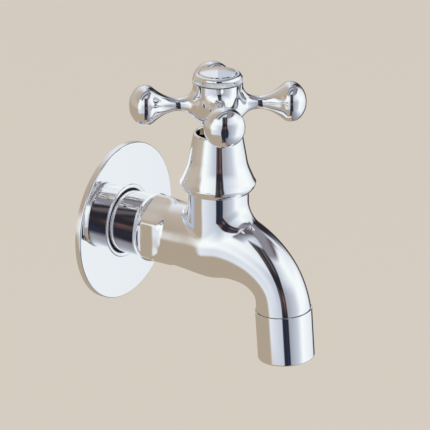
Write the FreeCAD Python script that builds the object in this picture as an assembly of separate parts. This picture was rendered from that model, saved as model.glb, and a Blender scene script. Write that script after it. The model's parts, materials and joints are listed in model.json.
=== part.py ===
import FreeCAD, Part
import math
import os

# A chrome-plated wall tap with a cross handle and a quarter-turn ceramic headwork.
# Millimetres. The origin is on the inlet axis in the plane of the wall. +Z is up,
# -Y points out of the wall, +Y into it. The handle turns about the chamber's axis.

# Inlet and shank
inlet_thread_d = 20.955
inlet_thread_length = 14.0
inlet_bore_d = 12.0
shank_d = 24.0
shank_length = 13.0
collar_d = 27.9
collar_length = 15.4
hex_across_flats = 24.6
hex_length = 6.2
hex_shoulder = 3.0
neck_d = 23.8

# Wall flange
flange_d = 61.0
flange_depth = 2.4
flange_sheet = 0.9
flange_edge = 0.6
flange_lip = 0.45
grip_ring_width = 0.5

# Body
chamber_reach = 43.5
chamber_d = 23.0
chamber_top = 23.5
chamber_wall = 1.9
belly_width = 24.8
belly_depth = 27.0
belly_rise = 0.2
blend = 3.0
seat_height = 4.5
seat_port_d = 9.0
pocket_d = 10.4

# Spout
spout_reach = 28.8
spout_drop = 19.6
spout_waist_d = 19.4
spout_d = 20.3
spout_bore_d = 10.0
spout_lean = 4.5
spout_stub_d = 16.6
spout_stub_length = 7.2

# Outlet sleeve and aerator
sleeve_d = 21.2
sleeve_length = 19.2
sleeve_land = 1.2
aerator_d = 18.2
aerator_wall = 1.3
aerator_recess = 0.9
rib_thickness = 0.9
rib_count = 6

# Headwork
seal_thickness = 1.5
fixed_disc_thickness = 3.0
moving_disc_thickness = 2.5
window_height = 2.9
window_angle = 100.0
spindle_collar = 2.4
thrust_washer_thickness = 1.0
spindle_d = 9.0
ring_section = 1.2
ring_groove = 1.25
gasket_thickness = 0.9
spanner_flats = 17.0
spanner_height = 3.2
neck_thread_d = 16.4
turn_angle = 90.0
stop_tooth_angle = 59.0
stop_height = 1.8
serration_count = 20
serration_depth = 0.4
serration_d = 7.8

# Bell
bell_height = 22.2
bell_overhang = 2.6
bell_drop = 1.8
bell_wall = 1.25
bell_collar = 0.8
headwork_recess = 5.5

# Handle
hub_d = 18.2
hub_neck_d = 9.8
hub_gap = 2.2
hub_cone_height = 4.2
hub_crown = 8.3
hub_well = 3.0
arm_blend = 1.8
arm_rise = 4.7
arm_reach = 32.3
arm_knob_d = 14.8
arm_waist_d = 4.8
arm_root_d = 10.2
front_arm_angle = 52.5
screw_d = 4.0
screw_head_d = 7.6
screw_head_height = 3.0
screw_length = 8.0
screw_seat_drop = 1.4
screw_recess = 4.4
screw_recess_width = 0.9
screw_recess_depth = 1.3
spindle_end_drop = 3.0
index_ring_d = 17.8
index_ring_height = 3.2
index_band_height = 1.3
index_spigot = 2.2
index_nest = 1.4
index_cap_d = 13.8
index_cap_edge = 0.35
index_cap_rise = 0.8

# Clearances
fit = 0.05
thread_fit = 0.1
running = 0.05

Z = FreeCAD.Vector(0, 0, 1)
Y = FreeCAD.Vector(0, 1, 0)
X = FreeCAD.Vector(1, 0, 0)
axis_foot = FreeCAD.Vector(0, -chamber_reach, 0)

chamber_r = chamber_d / 2
thread_r = chamber_r - chamber_wall
well_r = thread_r + 0.3
barrel_r = thread_r - 0.9
cage_r = barrel_r - 1.1
stem_r = spindle_d / 2
port_r = seat_port_d / 2

seal_bottom = seat_height + fit
fixed_bottom = seal_bottom + seal_thickness + fit
moving_bottom = fixed_bottom + fixed_disc_thickness + running
moving_top = moving_bottom + moving_disc_thickness
collar_bottom = moving_top + window_height
collar_top = collar_bottom + spindle_collar
washer_bottom = collar_top + running
roof = washer_bottom + thrust_washer_thickness + running
window_bottom = moving_top + 0.2
gasket_bottom = chamber_top + fit
collar_seat = gasket_bottom + gasket_thickness + fit
spanner_bottom = collar_seat + 1.2
spanner_top = spanner_bottom + spanner_height
bell_foot = chamber_top - bell_drop
bell_top = bell_foot + bell_height
headwork_height = bell_top - headwork_recess
web_bottom = spanner_top + 0.8
web_top = headwork_height - 3.8
disc_r = cage_r - fit
stop_inner = stem_r + 0.7
stop_outer = stop_inner + 1.4
washer_top = headwork_height + running + stop_height - 0.3
clip_bottom = washer_top + fit
clip_top = clip_bottom + 0.8
serration_r = serration_d / 2
serration_start = clip_top + 0.3
hub_start = serration_start + 0.4
hub_cone_start = bell_top + hub_gap
hub_cone_top = hub_cone_start + hub_cone_height
arm_height = hub_cone_top + arm_rise
hub_top = arm_height + hub_crown
corner_r = spanner_flats / math.sqrt(3)


def at_axis(shape):
    """Moves a piece drawn about Z onto the chamber's axis."""
    shape.translate(axis_foot)
    return shape


def outline(start, *steps):
    """Closed wire in the XZ plane. A step is a point, or a list of points that a smooth
    curve passes through; a tuple ("arc", middle, end) is an arc."""
    edges = []
    here = FreeCAD.Vector(start[0], 0, start[1])
    first = here
    for step in steps:
        if isinstance(step, list):
            points = [here] + [FreeCAD.Vector(p[0], 0, p[1]) for p in step]
            curve = Part.BSplineCurve()
            curve.interpolate(points)
            edges.append(curve.toShape())
            here = points[-1]
        elif step[0] == "arc":
            middle = FreeCAD.Vector(step[1][0], 0, step[1][1])
            end = FreeCAD.Vector(step[2][0], 0, step[2][1])
            edges.append(Part.Arc(here, middle, end).toShape())
            here = end
        else:
            end = FreeCAD.Vector(step[0], 0, step[1])
            edges.append(Part.makeLine(here, end))
            here = end
    if here.distanceToPoint(first) > 1e-6:
        edges.append(Part.makeLine(here, first))
    return Part.Wire(edges)


def turned(start, *steps):
    """A solid of revolution about Z from (radius, height) steps."""
    solid = Part.Face(outline(start, *steps)).revolve(FreeCAD.Vector(0, 0, 0), Z, 360)
    if solid.Volume < 0:
        solid.reverse()
    return solid


def lay_on_inlet(shape):
    """Turns a piece drawn about Z, up along Z, so that its Z runs out of the wall."""
    shape.rotate(FreeCAD.Vector(0, 0, 0), X, 90)
    return shape


def disc(radius, bottom, top):
    return Part.makeCylinder(radius, top - bottom, FreeCAD.Vector(0, 0, bottom))


def ring(inner, outer, bottom, top):
    return disc(outer, bottom, top).cut(disc(inner, bottom - 1, top + 1))


def sector(inner, outer, bottom, top, start, sweep):
    """A piece of a ring between two angles."""
    wire = outline((inner, bottom), (outer, bottom), (outer, top), (inner, top))
    block = Part.Face(wire).revolve(FreeCAD.Vector(0, 0, 0), Z, sweep)
    if block.Volume < 0:
        block.reverse()
    block.rotate(FreeCAD.Vector(0, 0, 0), Z, start)
    return block


def prism(sides, across_flats, bottom, top, first_angle):
    radius = across_flats / 2 / math.cos(math.pi / sides)
    points = []
    for i in range(sides + 1):
        angle = math.radians(first_angle) + 2 * math.pi * i / sides
        points.append(FreeCAD.Vector(radius * math.cos(angle), radius * math.sin(angle), bottom))
    return Part.Face(Part.makePolygon(points)).extrude(Z * (top - bottom))


def serrated(outer, inner, bottom, top):
    """A round bar with even teeth, drawn as a star and lifted."""
    points = []
    for i in range(2 * serration_count + 1):
        radius = outer if i % 2 == 0 else inner
        angle = math.pi * i / serration_count
        points.append(FreeCAD.Vector(radius * math.cos(angle), radius * math.sin(angle), bottom))
    return Part.Face(Part.makePolygon(points)).extrude(Z * (top - bottom))


def bezier(points, t):
    """Point on a cubic curve in the (reach, height) plane."""
    a, b, c, d = points
    s = 1 - t
    weights = (s * s * s, 3 * s * s * t, 3 * s * t * t, t * t * t)
    u = sum(w * p[0] for w, p in zip(weights, (a, b, c, d)))
    h = sum(w * p[1] for w, p in zip(weights, (a, b, c, d)))
    return u, h


def station(points, t):
    """Centre and direction of a section at a share of a cubic path in the plane x = 0."""
    u, h = bezier(points, t)
    u1, h1 = bezier(points, min(1.0, t + 1e-4))
    u0, h0 = bezier(points, max(0.0, t - 1e-4))
    along = FreeCAD.Vector(0, -(u1 - u0), h1 - h0)
    along.normalize()
    return FreeCAD.Vector(0, -chamber_reach - u, h), along


def oval_poles(centre, along, half_width, half_depth):
    """Nine poles of an oval section square to a direction in the plane x = 0."""
    upright = X.cross(along)
    corners = ((0, 1), (1, 1), (1, 0), (1, -1), (0, -1), (-1, -1), (-1, 0), (-1, 1), (0, 1))
    return [centre + X * (half_width * a) + upright * (half_depth * b) for a, b in corners]


def skin(sections):
    """A solid with one smooth skin through oval sections, closed by a flat face at each end.
    A section is (centre, direction, half width, half depth)."""
    lengths = [0.0]
    for before, after in zip(sections, sections[1:]):
        lengths.append(lengths[-1] + before[0].distanceToPoint(after[0]))
    rings = [oval_poles(*section) for section in sections]
    columns = []
    for column in zip(*rings):
        curve = Part.BSplineCurve()
        curve.interpolate(Points=list(column), Parameters=lengths)
        columns.append(curve)
    poles = [list(row) for row in zip(*[curve.getPoles() for curve in columns])]
    side = math.sqrt(0.5)
    weights = [[1.0, side, 1.0, side, 1.0, side, 1.0, side, 1.0] for row in poles]
    surface = Part.BSplineSurface()
    surface.buildFromPolesMultsKnots(poles, columns[0].getMultiplicities(), [3, 2, 2, 2, 3],
                                     columns[0].getKnots(), [0.0, 0.25, 0.5, 0.75, 1.0],
                                     False, False, 3, 2, weights)
    ends = [Part.Face(Part.Wire(surface.uIso(u).toShape())) for u in (0.0, lengths[-1])]
    shell = Part.makeShell([surface.toShape()] + ends)
    shell.sewShape()
    solid = Part.makeSolid(shell)
    if solid.Volume < 0:
        solid.reverse()
    return solid


lean = math.radians(spout_lean)
seam = (spout_reach, -spout_drop)
spout_path = ((0.0, belly_rise), (6.0, belly_rise),
              (spout_reach - 18.5 * math.sin(lean), -spout_drop + 18.5 * math.cos(lean)), seam)
bore_path = ((5.0, seat_height + 4.2), (12.0, seat_height - 1.0),
             (spout_reach - 14.5 * math.sin(lean), -spout_drop + 14.5 * math.cos(lean)), seam)


def swell(root, t):
    """Radius along the spout: full at the root, drawn in at the bend, full at the seam."""
    end = spout_d / 2
    waist = (spout_waist_d / 2 - 0.205 * root - 0.343 * end) / 0.441
    s = 1 - t
    return s * s * s * root + 2.82 * s * s * t * root + 3 * s * t * t * waist + t * t * t * end


def run_of_body():
    """Neck, belly and spout as one smooth run of oval sections from collar to seam."""
    start = shank_length + hex_shoulder + hex_length
    span = chamber_reach - start
    neck = neck_d / 2
    wide = belly_width / 2
    deep = belly_depth / 2
    sections = []
    for share in (0.0, 0.33, 0.66):
        grown = (1 - math.cos(math.pi * share)) / 2
        centre = FreeCAD.Vector(0, -start - span * share, belly_rise * grown)
        sections.append((centre, -Y, neck + grown * (wide - neck), neck + grown * (deep - neck)))
    for t in (0.0, 0.23, 0.38, 0.52, 0.66, 0.82, 1.0):
        centre, along = station(spout_path, t)
        sections.append((centre, along, swell(wide, t), swell(deep, t)))
    return skin(sections)


def to_outlet(shape):
    """Moves a piece drawn down from the origin onto the spout's end."""
    shape.rotate(FreeCAD.Vector(0, 0, 0), X, -spout_lean)
    shape.translate(FreeCAD.Vector(0, -chamber_reach - spout_reach, -spout_drop))
    return shape


def inlet_stub():
    """Threaded length, shank and a cast collar: a shoulder, a hexagon and a soft run-out."""
    r = inlet_thread_d / 2
    shank_r = shank_d / 2
    collar_r = collar_d / 2
    flat_r = hex_across_flats / 2
    flat_start = shank_length + hex_shoulder
    flat_end = flat_start + hex_length
    end = shank_length + collar_length
    fade = end - flat_end
    neck = neck_d / 2
    core = turned((0, -inlet_thread_length), (r - 1.2, -inlet_thread_length),
                  (r, -inlet_thread_length + 1.2), (r, 0), (shank_r - 0.3, 0), (shank_r, 0.3),
                  (shank_r, flat_start), (0, flat_start))
    collar = turned((0, shank_length), (shank_r + 0.2, shank_length),
                    (shank_r + 0.4, shank_length + 0.2), (shank_r + 0.5, shank_length + 0.7),
                    (collar_r - 0.3, flat_start + 0.2),
                    ("arc", (collar_r - 0.08, flat_start + 0.55), (collar_r, flat_start + 1.1)),
                    (collar_r, flat_end + 0.34 * fade),
                    [(collar_r - 0.16 * (collar_r - neck), flat_end + 0.47 * fade),
                     (neck + 0.40 * (collar_r - neck), flat_end + 0.66 * fade),
                     (neck + 0.10 * (collar_r - neck), flat_end + 0.86 * fade),
                     (neck - 0.15, end)], (0, end))
    for i in range(6):
        side = outline((flat_r, flat_start), (flat_r + 4, flat_start - 4),
                       (flat_r + 6, flat_start - 4), (flat_r + 6, end + 1),
                       (neck - 0.25, end + 1), (flat_r, flat_end))
        cutter = Part.Face(side).extrude(Y * collar_d)
        cutter.translate(-Y * collar_r)
        cutter.rotate(FreeCAD.Vector(0, 0, 0), Z, 60 * i)
        collar = collar.cut(cutter)
    return lay_on_inlet(core.fuse(collar))


def chamber_shell():
    """The upright chamber."""
    return at_axis(turned((0, chamber_top), (chamber_r - 0.3, chamber_top),
                          (chamber_r, chamber_top - 0.3), (chamber_r, 0), (0, 0)))


def spout_stub():
    r = spout_stub_d / 2
    return to_outlet(turned((0, 1.0), (r, 1.0), (r, -spout_stub_length + 0.6),
                            (r - 0.6, -spout_stub_length), (0, -spout_stub_length)))


def water_way():
    """Inlet bore, pocket under the seat, port, well for the headwork and spout bore."""
    bore_r = inlet_bore_d / 2
    straight = shank_length + hex_shoulder + hex_length + 1.0
    mouth = Part.makeCylinder(bore_r, inlet_thread_length + straight + 1,
                              FreeCAD.Vector(0, inlet_thread_length + 1, 0), -Y)
    pocket_r = pocket_d / 2
    pocket_z = seat_height - 2.3 - pocket_r
    slope = []
    for share in (0.0, 0.35, 0.7, 1.0):
        y = -straight + 0.5 - share * (chamber_reach - straight - 0.5)
        z = pocket_z * (1 - math.cos(math.pi * share)) / 2
        radius = bore_r + (pocket_r - 0.5 - bore_r) * share
        slope.append((FreeCAD.Vector(0, y, z), -Y, radius, radius))
    pocket = Part.makeSphere(pocket_r, axis_foot + Z * pocket_z)
    port = at_axis(disc(port_r, pocket_z, seat_height + 1))
    well = at_axis(disc(well_r, seat_height, chamber_top - 6.0))
    throat = at_axis(disc(thread_r, chamber_top - 6.5, chamber_top + 1))
    bore = []
    for i in range(7):
        centre, along = station(bore_path, i / 6)
        bore.append((centre, along, spout_bore_d / 2, spout_bore_d / 2))
    drop = to_outlet(disc(spout_bore_d / 2, -spout_stub_length - 1, 0.01))
    return [mouth, skin(slope), pocket, port, well, throat, skin(bore), drop]


def joins_chamber(edge):
    """True for the curved edges where the run meets the chamber's wall."""
    middle = edge.valueAt((edge.FirstParameter + edge.LastParameter) / 2)
    off = math.hypot(middle.x, middle.y + chamber_reach) - chamber_r
    return abs(off) < 0.01 and edge.Curve.TypeId == "Part::GeomBSplineCurve"


def body_casting():
    outside = run_of_body().fuse(chamber_shell()).removeSplitter()
    creases = [edge for edge in outside.Edges if joins_chamber(edge)]
    outside = outside.makeFillet(blend, creases)
    casting = outside.fuse([inlet_stub(), spout_stub()]).removeSplitter()
    for hollow in water_way():
        casting = casting.cut(hollow)
    return casting


def wall_flange():
    """A thin pressed pan: straight rim, flat face and a raised lip round the hole."""
    outer = flange_d / 2
    t = flange_sheet
    face = flange_depth
    bend = flange_edge
    corner = bend * (1 - math.cos(math.pi / 4))
    hole = shank_d / 2 + fit + grip_ring_width + fit
    lip = hole + t
    pan = turned((outer - t, 0), (outer, 0), (outer, face - bend),
                 ("arc", (outer - corner, face - corner), (outer - bend, face)),
                 (lip + 0.8, face),
                 ("arc", (lip - 0.1, face + flange_lip), (hole + 0.15, face + 0.05)),
                 (hole, face - 0.25), (hole, face - t - 1.0), (lip, face - t - 1.0),
                 (lip, face - t), (outer - t - 0.3, face - t), (outer - t, face - t - 0.3))
    return lay_on_inlet(pan)


def flange_grip_ring():
    inner = shank_d / 2 + fit
    outer = inner + grip_ring_width
    back = flange_depth - flange_sheet - 1.0
    front = flange_depth - 0.15
    middle = (inner + outer) / 2
    round_r = grip_ring_width / 2
    return lay_on_inlet(turned((inner, back), (outer, back), (outer, front - round_r),
                               ("arc", (middle, front), (inner, front - round_r))))


def seat_seal():
    return at_axis(ring(port_r + 0.1, disc_r, seal_bottom, seal_bottom + seal_thickness))


def headwork_housing():
    """Windowed barrel, threaded shoulder, spanner hexagon, top thread and stop wall."""
    shoulder = window_bottom + window_height + 1.6
    top_r = neck_thread_d / 2
    neck_r = stop_outer + fit
    solid = turned((0, seat_height + 0.4), (barrel_r, seat_height + 0.4), (barrel_r, shoulder - 0.8),
                   (thread_r - thread_fit, shoulder), (thread_r - thread_fit, collar_seat),
                   (chamber_r - 0.5, collar_seat), (chamber_r - 0.5, spanner_bottom - 0.2),
                   (chamber_r - 0.7, spanner_bottom), (top_r, spanner_bottom), (top_r, web_top - 0.5),
                   (top_r - 0.5, web_top), (neck_r, web_top), (neck_r, headwork_height),
                   (0, headwork_height))
    nut = prism(6, spanner_flats, spanner_bottom, spanner_top, 0).common(
        turned((0, spanner_bottom), (corner_r, spanner_bottom), (corner_r, spanner_top - 0.6),
               (spanner_flats / 2, spanner_top), (0, spanner_top)))
    stop = sector(stop_inner, stop_outer, headwork_height - 0.5, headwork_height + stop_height,
                  0, 360 - turn_angle - stop_tooth_angle - 1.0)
    cuts = [disc(cage_r, seat_height, roof), disc(stem_r + running, roof - 0.5, headwork_height + 5)]
    for start in (0, 180):
        cuts.append(sector(cage_r - 1, barrel_r + 1, window_bottom, window_bottom + window_height,
                           start - window_angle / 2, window_angle))
        cuts.append(sector(cage_r - 1, barrel_r + 1, seat_height, fixed_bottom + fixed_disc_thickness,
                           start + 75, 30))
    return at_axis(solid.fuse([nut, stop]).cut(cuts).removeSplitter())


def disc_ports(bottom, top, start):
    cuts = []
    for turn in (0, 180):
        cuts.append(sector(1.7, disc_r - 2.15, bottom - 1, top + 1, start + turn - 41, 82))
    return cuts


def fixed_disc():
    """Ceramic disc with two ports and two ears that the housing's slots hold."""
    top = fixed_bottom + fixed_disc_thickness
    plate = disc(disc_r, fixed_bottom, top)
    for start in (0, 180):
        ear = sector(disc_r - 1, barrel_r - 0.1, fixed_bottom, top, start + 76, 28)
        plate = plate.fuse(ear)
    return at_axis(plate.cut(disc_ports(fixed_bottom, top, 0)).removeSplitter())


def moving_disc():
    """Ceramic disc, shut at rest: its ports stand a quarter turn from the fixed ones."""
    plate = disc(disc_r - 0.1, moving_bottom, moving_top)
    plate = plate.cut(disc_ports(moving_bottom, moving_top, turn_angle))
    slot = Part.makeBox(2 * disc_r + 2, 3.2, 2, FreeCAD.Vector(-disc_r - 1, -1.6, moving_top - 1.1))
    return at_axis(plate.cut(slot))


def spindle():
    """Tang, collar, grooved stem, keyed flats, clip groove and serrated end."""
    collar_r = disc_r - 0.1
    top = arm_height - spindle_end_drop
    ring_r = stem_r - ring_groove
    low, high = ring_heights()
    body = turned((0, collar_bottom), (collar_r, collar_bottom), (collar_r, collar_top),
                  (stem_r, collar_top), (stem_r, low - 0.75), (ring_r, low - 0.75),
                  (ring_r, low + 0.75), (stem_r, low + 0.75), (stem_r, high - 0.75),
                  (ring_r, high - 0.75), (ring_r, high + 0.75), (stem_r, high + 0.75),
                  (stem_r, clip_bottom - 0.02), (stem_r - 0.9, clip_bottom - 0.02),
                  (stem_r - 0.9, clip_top + 0.02), (stem_r - 0.3, clip_top + 0.02),
                  (stem_r - 0.3, serration_start), (0, serration_start))
    flats = [Part.makeBox(20, 10, washer_top - headwork_height,
                          FreeCAD.Vector(-10, side * (stem_r - 0.8) - (10 if side < 0 else 0),
                                         headwork_height + running)) for side in (1, -1)]
    tang = Part.makeBox(2 * collar_r - 2.4, 3.1, collar_bottom - moving_top + 1.05,
                        FreeCAD.Vector(-collar_r + 1.2, -1.55, moving_top - 1.05))
    teeth = serrated(serration_r, serration_r - serration_depth, serration_start - 0.01, top)
    teeth = teeth.common(turned((0, serration_start - 1), (serration_r + 1, serration_start - 1),
                                (serration_r + 1, top - 1.2), (serration_r - 0.7, top), (0, top)))
    screw_hole = disc(screw_d / 2 + fit, serration_start + 1.5, top + 1)
    return at_axis(body.cut(flats).fuse([tang, teeth]).cut(screw_hole).removeSplitter())


def ring_heights():
    span = headwork_height - roof
    return roof + span * 0.34, roof + span * 0.62


def spindle_ring(height):
    small = ring_section / 2
    middle = stem_r - ring_groove + 0.03 + small
    return at_axis(Part.makeTorus(middle, small, FreeCAD.Vector(0, 0, height), Z))


def thrust_washer():
    return at_axis(ring(stem_r + running, disc_r - 0.15, washer_bottom,
                        washer_bottom + thrust_washer_thickness))


def stop_washer():
    """Keyed on the spindle's flats; its tooth stands just clear of the stop wall."""
    bottom = headwork_height + running
    plate = disc(stop_inner - 0.1, bottom, washer_top)
    start = -stop_tooth_angle - turn_angle - 0.5
    tooth = sector(stem_r - 1, stop_outer - 0.15, bottom, washer_top, start, stop_tooth_angle)
    key = disc(stem_r + fit, bottom - 1, washer_top + 1).common(
        Part.makeBox(20, 2 * (stem_r - 0.8 + fit), 6,
                     FreeCAD.Vector(-10, -(stem_r - 0.8 + fit), bottom - 1)))
    return at_axis(plate.fuse(tooth).cut(key).removeSplitter())


def spindle_clip():
    """An open spring clip in the spindle's groove."""
    hoop = ring(stem_r - 0.9 + fit, stop_inner - 0.1, clip_bottom, clip_top)
    mouth = Part.makeBox(10, 2 * stem_r - 3.4, 4, FreeCAD.Vector(0, -stem_r + 1.7, clip_bottom - 1))
    return at_axis(hoop.cut(mouth))


def headwork_gasket():
    return at_axis(ring(thread_r + fit, chamber_r - 0.6, gasket_bottom,
                        gasket_bottom + gasket_thickness))


def bonnet_bell():
    """A flared bell: rolled foot, concave flank, open mouth and a threaded web inside."""
    foot_r = chamber_r + bell_overhang
    waist_r = corner_r + 0.25 + bell_wall
    web_r = neck_thread_d / 2 + thread_fit
    mouth_r = web_r + bell_collar
    h = bell_height
    z = bell_foot
    skirt = foot_r - waist_r
    taper = waist_r - mouth_r
    flank = [(waist_r + skirt * 0.80, z + h * 0.150), (waist_r + skirt * 0.52, z + h * 0.250),
             (waist_r, z + h * 0.430), (mouth_r + taper * 0.653, z + h * 0.600),
             (mouth_r + taper * 0.293, z + h * 0.800), (mouth_r, z + h - 0.7)]
    inner_foot = chamber_r + 0.35
    shade = mouth_r - bell_wall
    wire = turned((inner_foot, z + 0.3), (inner_foot + 0.3, z), (foot_r - 2.0, z),
                  ("arc", (foot_r - 1.05, z + 0.3), (foot_r - 0.35, z + 1.05)),
                  ("arc", (foot_r - 0.02, z + 1.55), (foot_r - 0.08, z + 2.15)), flank,
                  ("arc", (mouth_r - 0.2, z + h - 0.2), (mouth_r - 0.7, z + h)),
                  (shade + 0.3, z + h), (shade, z + h - 0.3), (shade, web_top),
                  (web_r, web_top), (web_r, web_bottom),
                  (corner_r + 0.25, web_bottom - 0.4),
                  (inner_foot, spanner_bottom))
    return at_axis(wire)


def outlet_gasket():
    r = spout_stub_d / 2
    return to_outlet(ring(spout_bore_d / 2 + 1.6, r, -spout_stub_length - fit - 0.9,
                          -spout_stub_length - fit))


def outlet_sleeve():
    """A straight sleeve with softly rounded ends, a land inside and room for the aerator."""
    r = sleeve_d / 2
    stub = spout_stub_d / 2 + thread_fit
    land_top = -spout_stub_length - 0.9 - 2 * fit
    land_r = spout_bore_d / 2 + 1.6
    nest = aerator_d / 2 + fit
    return to_outlet(turned((stub, -fit), (r - 0.25, -fit), (r, -fit - 0.25),
                            (r, -sleeve_length + 0.7),
                            ("arc", (r - 0.2, -sleeve_length + 0.2), (r - 0.7, -sleeve_length)),
                            (nest + 0.2, -sleeve_length), (nest, -sleeve_length + 0.2),
                            (nest, land_top - sleeve_land), (land_r, land_top - sleeve_land),
                            (land_r, land_top), (stub, land_top)))


def aerator_levels():
    top = -spout_stub_length - 0.9 - 2 * fit - sleeve_land
    seal = top - fit
    screen = seal - 0.9 - fit
    housing = screen - 0.3 - fit
    return seal, screen, housing


def aerator_seal():
    seal = aerator_levels()[0]
    r = aerator_d / 2
    return to_outlet(ring(r - 2.0, r - 0.1, seal - 0.9, seal))


def aerator_screen():
    screen = aerator_levels()[1]
    return to_outlet(disc(aerator_d / 2 - 0.1, screen - 0.3, screen))


def aerator_housing():
    """A short cup wall with a middle ring, a boss and even ribs across the flow."""
    top = aerator_levels()[2]
    bottom = -sleeve_length + aerator_recess
    r = aerator_d / 2
    shell = ring(r - aerator_wall, r, bottom, top)
    rib_top = top - 1.4
    rib_bottom = bottom + 0.8
    pieces = [disc(1.9, rib_bottom, rib_top),
              ring(r * 0.5, r * 0.5 + rib_thickness, rib_bottom, rib_top)]
    for i in range(rib_count):
        rib = Part.makeBox(r - 0.5, rib_thickness, rib_top - rib_bottom,
                           FreeCAD.Vector(0, -rib_thickness / 2, rib_bottom))
        rib.rotate(FreeCAD.Vector(0, 0, 0), Z, 360.0 * i / rib_count)
        pieces.append(rib)
    return to_outlet(shell.fuse(pieces).removeSplitter())


def arm_direction(index):
    angle = math.radians(-90 - front_arm_angle + 90 * index)
    return FreeCAD.Vector(math.cos(angle), math.sin(angle), 0)


def handle_arm(index):
    """A turned arm from inside the hub out: flared root, drawn-in waist and a full ball end."""
    knob = arm_knob_d / 2
    waist = arm_waist_d / 2
    root = arm_root_d / 2
    hub_r = hub_d / 2
    crown = arm_reach - 0.83 * knob
    waist_at = hub_r + 0.255 * (arm_reach - hub_r)
    swell = knob - waist
    flare = root - waist
    run = crown - waist_at
    arm = turned((0, hub_r * 0.6), (root, hub_r * 0.6),
                 [(root - 0.10 * flare, hub_r - 1.6), (root - 0.34 * flare, hub_r),
                  (waist + 0.33 * flare, hub_r + 1.8), (waist + 0.10 * flare, hub_r + 3.6),
                  (waist, waist_at), (waist + swell * 0.22, waist_at + run * 0.38),
                  (waist + swell * 0.66, waist_at + run * 0.70),
                  (knob - 0.12, crown - 0.9), (knob, crown),
                  (knob * 0.93, crown + (arm_reach - crown) * 0.42),
                  (knob * 0.62, crown + (arm_reach - crown) * 0.80),
                  (knob * 0.25, arm_reach - 0.13), (0, arm_reach)])
    direction = arm_direction(index)
    arm.rotate(FreeCAD.Vector(0, 0, 0), Y, 90)
    arm.rotate(FreeCAD.Vector(0, 0, 0), Z, math.degrees(math.atan2(direction.y, direction.x)))
    arm.translate(FreeCAD.Vector(0, 0, arm_height))
    return arm


def meets_hub(edge):
    """True for the closed saddle curves where an arm leaves the hub."""
    if edge.Length < 2 * arm_root_d or edge.Curve.TypeId != "Part::GeomBSplineCurve":
        return False
    span = edge.LastParameter - edge.FirstParameter
    spots = [edge.valueAt(edge.FirstParameter + k * span / 4) for k in range(1, 4)]
    at_hub = all(abs(math.hypot(p.x, p.y) - hub_d / 2) < 0.6 for p in spots)
    level = all(abs(p.z - arm_height) < arm_root_d / 2 for p in spots)
    return at_hub and level


def cross_handle():
    """One casting: neck, cone and barrel with four arms, a serrated socket and a well on top."""
    r = hub_d / 2
    neck = hub_neck_d / 2
    well = index_cap_d / 2 + 0.1
    floor = arm_height - screw_seat_drop
    slope = hub_cone_height
    solid = turned((0, hub_start), (neck - 0.4, hub_start), (neck, hub_start + 0.4),
                   (neck, hub_cone_start),
                   [(neck + 0.08 * (r - neck), hub_cone_start + 0.19 * slope),
                    (r - 0.5 * (r - neck), hub_cone_top - 0.38 * slope),
                    (r - 0.13 * (r - neck), hub_cone_top + 0.05 * slope),
                    (r - 0.012 * (r - neck), hub_cone_top + 0.57 * slope),
                    (r, hub_cone_top + 1.2 * slope), (r, hub_top - 2.0), (r, hub_top - 0.3)],
                   (r - 0.3, hub_top), (0, hub_top))
    solid = solid.fuse([handle_arm(index) for index in range(4)]).removeSplitter()
    solid = solid.makeFillet(arm_blend, [edge for edge in solid.Edges if meets_hub(edge)])
    play = 0.06
    socket = serrated(serration_r + play, serration_r - serration_depth + play,
                      hub_start - 1, arm_height - spindle_end_drop + 0.1)
    for hollow in (socket, disc(screw_d / 2 + 0.1, hub_start, floor + 1),
                   disc(screw_head_d / 2 + 0.6, floor, hub_top - hub_well + 0.01),
                   disc(well, hub_top - hub_well, hub_top + 1)):
        solid = solid.cut(hollow)
    return at_axis(solid)


def handle_screw():
    """Holds the hub down on the spindle."""
    floor = arm_height - screw_seat_drop
    shank = disc(screw_d / 2, floor - screw_length, floor + fit + 0.5)
    head = turned((0, floor + fit), (screw_head_d / 2, floor + fit),
                  (screw_head_d / 2, floor + fit + screw_head_height - 0.9),
                  [(screw_head_d / 2 - 0.9, floor + fit + screw_head_height - 0.2),
                   (0, floor + fit + screw_head_height)])
    wide, thin, deep = screw_recess, screw_recess_width, screw_recess_depth
    bottom = floor + screw_head_height - deep
    cross = [Part.makeBox(wide, thin, 2 * deep, FreeCAD.Vector(-wide / 2, -thin / 2, bottom)),
             Part.makeBox(thin, wide, 2 * deep, FreeCAD.Vector(-thin / 2, -wide / 2, bottom))]
    return at_axis(head.fuse(shank).cut(cross).removeSplitter())


def index_ring():
    """Ring with a straight band, a rounded shoulder, a spigot in the hub and a nest."""
    r = index_ring_d / 2
    z = hub_top + fit
    top = z + index_ring_height
    spigot = index_cap_d / 2
    nest = index_cap_d / 2 + fit
    band = z + index_band_height
    rise = top - band - 0.3
    return at_axis(turned((0, z - index_spigot), (spigot, z - index_spigot), (spigot, z), (r, z),
                          (r, band), (r - 0.3, band + 0.3),
                          ("arc", (nest + 0.3 + (r - nest - 0.6) * 0.72, band + 0.3 + rise * 0.68),
                           (nest + 0.3, top)),
                          (nest, top - 0.2), (nest, top - index_nest), (0, top - index_nest)))


def index_cap():
    """Low domed cap."""
    r = index_cap_d / 2
    bottom = hub_top + fit + index_ring_height - index_nest + fit
    edge = hub_top + fit + index_ring_height + index_cap_edge
    top = edge + index_cap_rise
    return at_axis(turned((0, bottom), (r, bottom), (r, edge - 0.3), (r - 0.3, edge),
                          [(r * 0.55, edge + index_cap_rise * 0.68), (0, top)]))


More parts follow.
